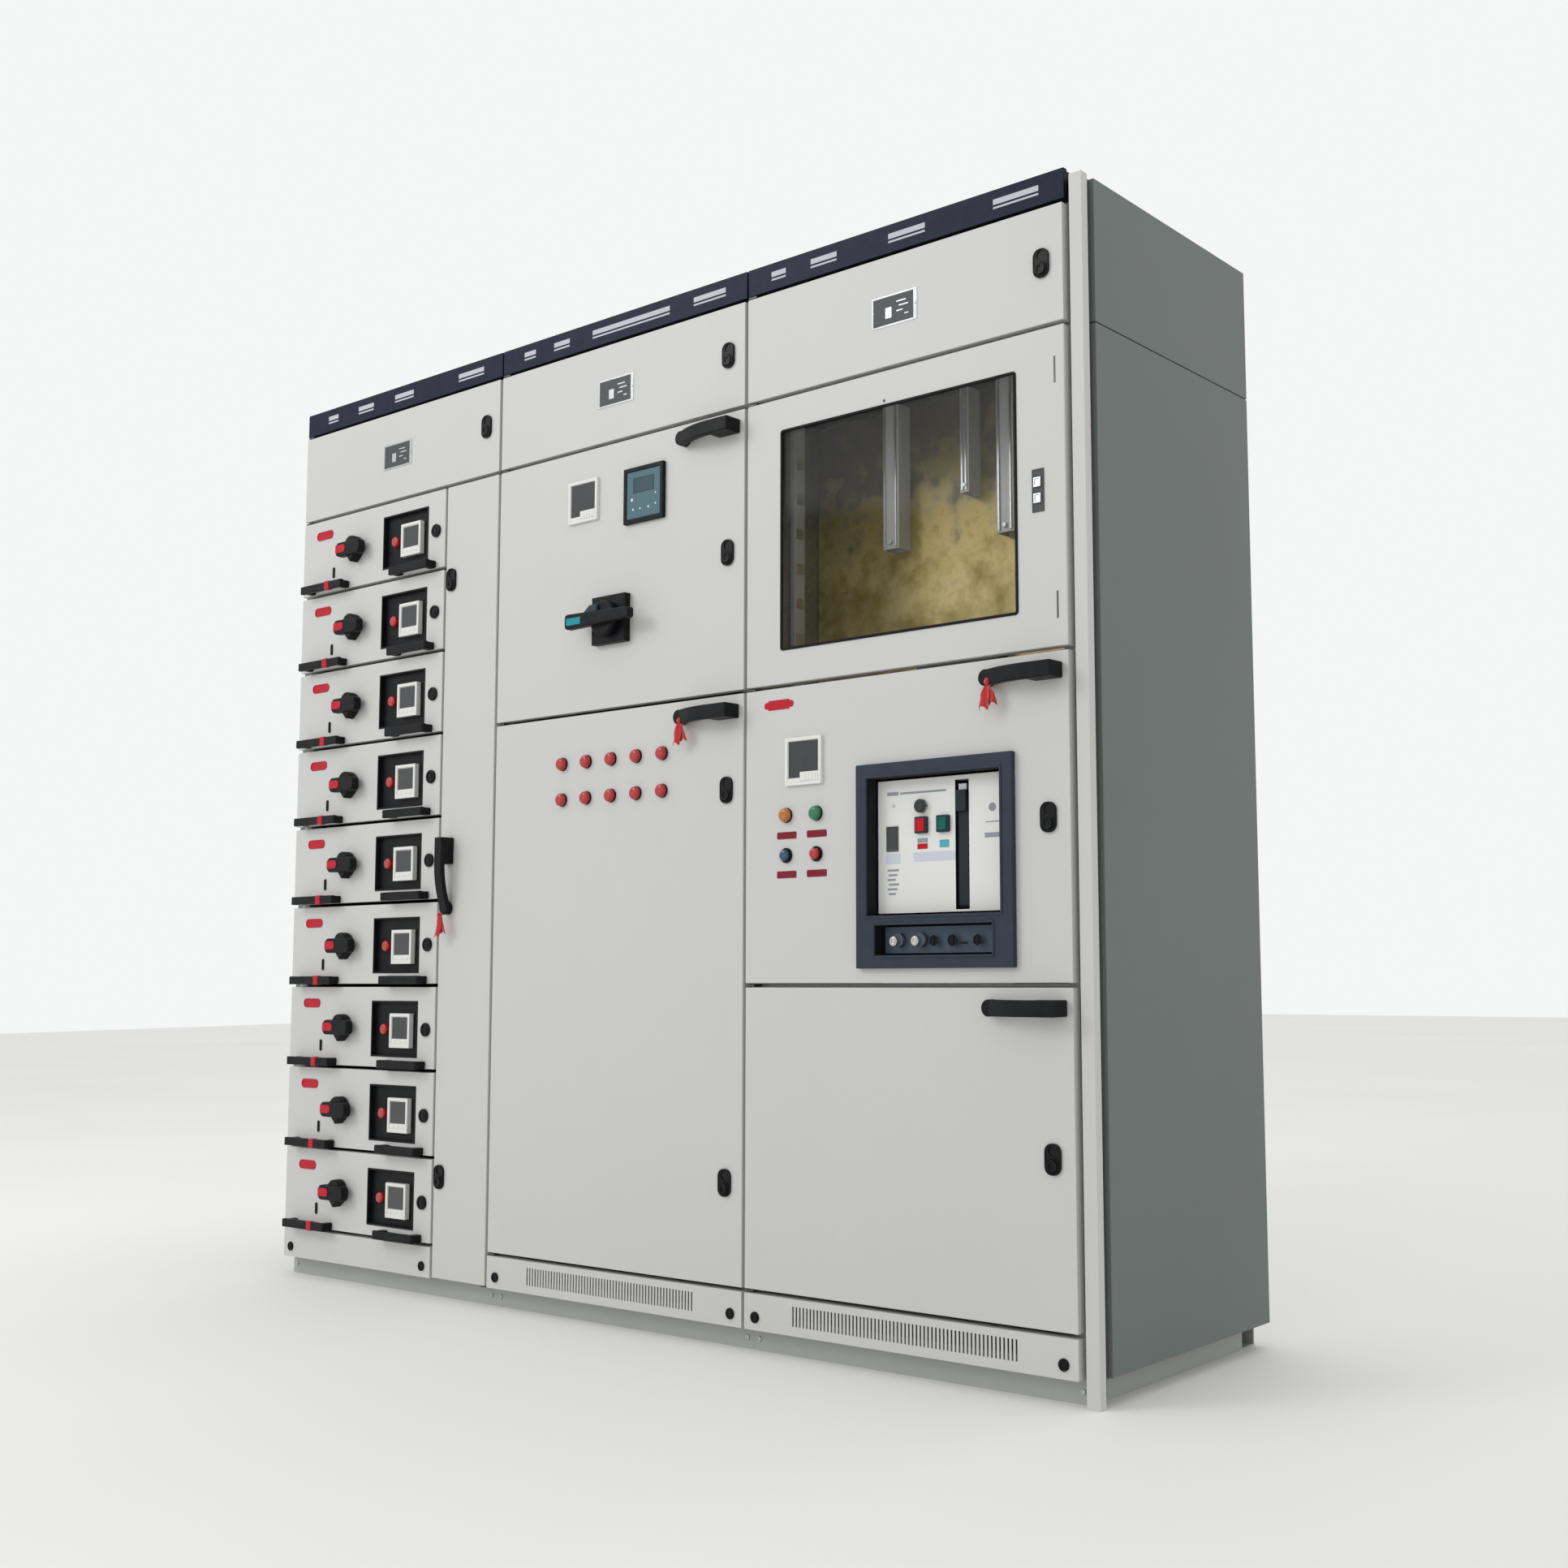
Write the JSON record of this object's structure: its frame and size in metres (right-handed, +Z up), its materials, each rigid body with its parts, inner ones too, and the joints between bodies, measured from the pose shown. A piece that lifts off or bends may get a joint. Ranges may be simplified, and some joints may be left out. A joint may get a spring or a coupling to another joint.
{
  "type": "industrial switchboard cabinet",
  "caption": "Free-standing three-section low-voltage switchboard with withdrawable feeder drawers, hinged doors, meters, signal lamps and a withdrawable air circuit breaker.",
  "frame": {"origin": "floor level at the centre of the middle section's four floor anchor holes", "axes": "+X along the front to the right, -Y out of the front, +Z up"},
  "size_m": [2.48, 0.6983, 2.212],
  "materials": {
    "painted_front": "textured powder coat",
    "painted_side": "textured powder coat",
    "painted_frame": "powder coat",
    "navy_board": "satin enamel",
    "zinc_plate": "yellow passivated zinc",
    "zinc_bright": "bright zinc",
    "copper_bar": "drawn copper",
    "moulded_support": "moulded resin",
    "pane": "clear",
    "black_plastic": "fine texture",
    "lamp_lens": "gloss",
    "slate_plastic": "fine texture",
    "white_plastic": "fine texture",
    "red_cap": "gloss",
    "blue_cap": "gloss",
    "green_cap": "gloss",
    "lock_metal": "black zinc die casting"
  },
  "bodies": {
    "cabinet": {"base_frames": "painted_frame", "frame": "painted_frame", "roof_covers": "painted_front", "side_covers": "painted_side", "rear_covers": "painted_front", "name_boards": "navy_board", "kick_plates": "painted_front", "partitions": "painted_frame", "mounting_plates": "zinc_plate", "drawer_runners": "zinc_bright", "busbars": "copper_bar", "busbar_supports": "moulded_support", "breaker_cradle": "zinc_bright", "hinge_pivots": "zinc_bright", "cover_screws": "zinc_bright"},
    "top_door_left": {"top_door_left": "painted_front"},
    "top_door_middle": {"top_door_middle": "painted_front"},
    "top_door_right": {"top_door_right": "painted_front"},
    "cable_door": {"cable_door": "painted_front"},
    "upper_door": {"upper_door": "painted_front", "upper_instruments": "black_plastic"},
    "lower_door": {"lower_door": "painted_front", "signal_lamps": "lamp_lens"},
    "window_door": {"window_door": "painted_front", "window_glass": "pane"},
    "breaker_door": {"breaker_door": "painted_front", "breaker_surround": "slate_plastic"},
    "base_door": {"base_door": "painted_front"},
    "isolator_handle": {"isolator_handle": "black_plastic"},
    "blue_button": {"blue_button": "blue_cap"},
    "red_button": {"red_button": "red_cap"},
    "breaker_body": {"breaker_body": "white_plastic"},
    "charging_lever": {"charging_lever": "slate_plastic"},
    "on_button": {"on_button": "green_cap"},
    "off_button": {"off_button": "red_cap"},
    "top_lock_left": {"top_lock_left": "lock_metal"},
    "top_lock_middle": {"top_lock_middle": "lock_metal"},
    "top_lock_right": {"top_lock_right": "lock_metal"},
    "upper_door_lock": {"upper_door_lock": "lock_metal"},
    "lower_door_lock": {"lower_door_lock": "lock_metal"},
    "breaker_door_lock": {"breaker_door_lock": "lock_metal"},
    "base_door_lock": {"base_door_lock": "lock_metal"},
    "drawer_1": {"drawer_1": "painted_front"},
    "drawer_switch_1": {"drawer_switch_1": "black_plastic"},
    "drawer_2": {"drawer_2": "painted_front"},
    "drawer_switch_2": {"drawer_switch_2": "black_plastic"},
    "drawer_3": {"drawer_3": "painted_front"},
    "drawer_switch_3": {"drawer_switch_3": "black_plastic"},
    "drawer_4": {"drawer_4": "painted_front"},
    "drawer_switch_4": {"drawer_switch_4": "black_plastic"},
    "drawer_5": {"drawer_5": "painted_front"},
    "drawer_switch_5": {"drawer_switch_5": "black_plastic"},
    "drawer_6": {"drawer_6": "painted_front"},
    "drawer_switch_6": {"drawer_switch_6": "black_plastic"},
    "drawer_7": {"drawer_7": "painted_front"},
    "drawer_switch_7": {"drawer_switch_7": "black_plastic"},
    "drawer_8": {"drawer_8": "painted_front"},
    "drawer_switch_8": {"drawer_switch_8": "black_plastic"},
    "drawer_9": {"drawer_9": "painted_front"},
    "drawer_switch_9": {"drawer_switch_9": "black_plastic"}
  },
  "joints": [
    {"name": "top_door_left_hinge", "type": "hinge", "parent": "cabinet", "child": "top_door_left", "pos_m": [-1.184, -0.317, 1.92], "axis": [0, 0, 1], "range_deg": [-110, 0]},
    {"name": "top_door_middle_hinge", "type": "hinge", "parent": "cabinet", "child": "top_door_middle", "pos_m": [-0.384, -0.317, 1.92], "axis": [0, 0, 1], "range_deg": [-110, 0]},
    {"name": "top_door_right_hinge", "type": "hinge", "parent": "cabinet", "child": "top_door_right", "pos_m": [0.416, -0.317, 1.92], "axis": [0, 0, 1], "range_deg": [-110, 0]},
    {"name": "upper_door_hinge", "type": "hinge", "parent": "cabinet", "child": "upper_door", "pos_m": [-0.384, -0.317, 1.32], "axis": [0, 0, 1], "range_deg": [-110, 0]},
    {"name": "lower_door_hinge", "type": "hinge", "parent": "cabinet", "child": "lower_door", "pos_m": [-0.384, -0.317, 0.12], "axis": [0, 0, 1], "range_deg": [-110, 0]},
    {"name": "window_door_hinge", "type": "hinge", "parent": "cabinet", "child": "window_door", "pos_m": [0.416, -0.317, 1.32], "axis": [0, 0, 1], "range_deg": [-110, 0]},
    {"name": "breaker_door_hinge", "type": "hinge", "parent": "cabinet", "child": "breaker_door", "pos_m": [0.416, -0.317, 0.72], "axis": [0, 0, 1], "range_deg": [-110, 0]},
    {"name": "base_door_hinge", "type": "hinge", "parent": "cabinet", "child": "base_door", "pos_m": [0.416, -0.317, 0.12], "axis": [0, 0, 1], "range_deg": [-110, 0]},
    {"name": "cable_door_hinge", "type": "hinge", "parent": "cabinet", "child": "cable_door", "pos_m": [-0.416, -0.317, 0.044], "axis": [0, 0, 1], "range_deg": [0, 110]},
    {"name": "drawer_1_slide", "type": "slide", "parent": "cabinet", "child": "drawer_1", "axis": [0, -1, 0], "range_m": [0, 0.38]},
    {"name": "drawer_1_switch_turn", "type": "hinge", "parent": "drawer_1", "child": "drawer_switch_1", "pos_m": [-0.961, -0.328, 1.817], "axis": [0, 1, 0], "range_deg": [0, 90]},
    {"name": "drawer_2_slide", "type": "slide", "parent": "cabinet", "child": "drawer_2", "axis": [0, -1, 0], "range_m": [0, 0.38]},
    {"name": "drawer_2_switch_turn", "type": "hinge", "parent": "drawer_2", "child": "drawer_switch_2", "pos_m": [-0.961, -0.328, 1.617], "axis": [0, 1, 0], "range_deg": [0, 90]},
    {"name": "drawer_3_slide", "type": "slide", "parent": "cabinet", "child": "drawer_3", "axis": [0, -1, 0], "range_m": [0, 0.38]},
    {"name": "drawer_3_switch_turn", "type": "hinge", "parent": "drawer_3", "child": "drawer_switch_3", "pos_m": [-0.961, -0.328, 1.417], "axis": [0, 1, 0], "range_deg": [0, 90]},
    {"name": "drawer_4_slide", "type": "slide", "parent": "cabinet", "child": "drawer_4", "axis": [0, -1, 0], "range_m": [0, 0.38]},
    {"name": "drawer_4_switch_turn", "type": "hinge", "parent": "drawer_4", "child": "drawer_switch_4", "pos_m": [-0.961, -0.328, 1.217], "axis": [0, 1, 0], "range_deg": [0, 90]},
    {"name": "drawer_5_slide", "type": "slide", "parent": "cabinet", "child": "drawer_5", "axis": [0, -1, 0], "range_m": [0, 0.38]},
    {"name": "drawer_5_switch_turn", "type": "hinge", "parent": "drawer_5", "child": "drawer_switch_5", "pos_m": [-0.961, -0.328, 1.017], "axis": [0, 1, 0], "range_deg": [0, 90]},
    {"name": "drawer_6_slide", "type": "slide", "parent": "cabinet", "child": "drawer_6", "axis": [0, -1, 0], "range_m": [0, 0.38]},
    {"name": "drawer_6_switch_turn", "type": "hinge", "parent": "drawer_6", "child": "drawer_switch_6", "pos_m": [-0.961, -0.328, 0.817], "axis": [0, 1, 0], "range_deg": [0, 90]},
    {"name": "drawer_7_slide", "type": "slide", "parent": "cabinet", "child": "drawer_7", "axis": [0, -1, 0], "range_m": [0, 0.38]},
    {"name": "drawer_7_switch_turn", "type": "hinge", "parent": "drawer_7", "child": "drawer_switch_7", "pos_m": [-0.961, -0.328, 0.617], "axis": [0, 1, 0], "range_deg": [0, 90]},
    {"name": "drawer_8_slide", "type": "slide", "parent": "cabinet", "child": "drawer_8", "axis": [0, -1, 0], "range_m": [0, 0.38]},
    {"name": "drawer_8_switch_turn", "type": "hinge", "parent": "drawer_8", "child": "drawer_switch_8", "pos_m": [-0.961, -0.328, 0.417], "axis": [0, 1, 0], "range_deg": [0, 90]},
    {"name": "drawer_9_slide", "type": "slide", "parent": "cabinet", "child": "drawer_9", "axis": [0, -1, 0], "range_m": [0, 0.38]},
    {"name": "drawer_9_switch_turn", "type": "hinge", "parent": "drawer_9", "child": "drawer_switch_9", "pos_m": [-0.961, -0.328, 0.217], "axis": [0, 1, 0], "range_deg": [0, 90]},
    {"name": "isolator_turn", "type": "hinge", "parent": "upper_door", "child": "isolator_handle", "pos_m": [0, -0.328, 1.517], "axis": [0, 1, 0], "range_deg": [0, 90]},
    {"name": "blue_button_press", "type": "slide", "parent": "breaker_door", "child": "blue_button", "axis": [0, 1, 0], "range_m": [0, 0.004], "stiffness_N_per_m": 500, "springref_m": -0.001},
    {"name": "red_button_press", "type": "slide", "parent": "breaker_door", "child": "red_button", "axis": [0, 1, 0], "range_m": [0, 0.004], "stiffness_N_per_m": 500, "springref_m": -0.001},
    {"name": "breaker_racking", "type": "slide", "parent": "cabinet", "child": "breaker_body", "axis": [0, -1, 0], "range_m": [0, 0.05]},
    {"name": "on_button_press", "type": "slide", "parent": "breaker_body", "child": "on_button", "axis": [0, 1, 0], "range_m": [0, 0.004], "stiffness_N_per_m": 500, "springref_m": -0.001},
    {"name": "off_button_press", "type": "slide", "parent": "breaker_body", "child": "off_button", "axis": [0, 1, 0], "range_m": [0, 0.004], "stiffness_N_per_m": 500, "springref_m": -0.001},
    {"name": "charging_lever_pull", "type": "hinge", "parent": "breaker_body", "child": "charging_lever", "pos_m": [0.942, -0.298, 0.87], "axis": [1, 0, 0], "range_deg": [0, 60], "stiffness_Nm_per_rad": 1.2, "springref_deg": -17.19},
    {"name": "top_lock_left_turn", "type": "hinge", "parent": "top_door_left", "child": "top_lock_left", "pos_m": [-0.45, -0.328, 2.028], "axis": [0, 1, 0], "range_deg": [0, 90]},
    {"name": "top_lock_middle_turn", "type": "hinge", "parent": "top_door_middle", "child": "top_lock_middle", "pos_m": [0.35, -0.328, 2.028], "axis": [0, 1, 0], "range_deg": [0, 90]},
    {"name": "top_lock_right_turn", "type": "hinge", "parent": "top_door_right", "child": "top_lock_right", "pos_m": [1.15, -0.328, 2.028], "axis": [0, 1, 0], "range_deg": [0, 90]},
    {"name": "upper_door_lock_turn", "type": "hinge", "parent": "upper_door", "child": "upper_door_lock", "pos_m": [0.35, -0.328, 1.605], "axis": [0, 1, 0], "range_deg": [0, 90]},
    {"name": "lower_door_lock_turn", "type": "hinge", "parent": "lower_door", "child": "lower_door_lock", "pos_m": [0.35, -0.328, 1.108], "axis": [0, 1, 0], "range_deg": [0, 90]},
    {"name": "breaker_door_lock_turn", "type": "hinge", "parent": "breaker_door", "child": "breaker_door_lock", "pos_m": [1.15, -0.328, 1.007], "axis": [0, 1, 0], "range_deg": [0, 90]},
    {"name": "base_door_lock_turn", "type": "hinge", "parent": "base_door", "child": "base_door_lock", "pos_m": [1.15, -0.328, 0.407], "axis": [0, 1, 0], "range_deg": [0, 90]}
  ]
}
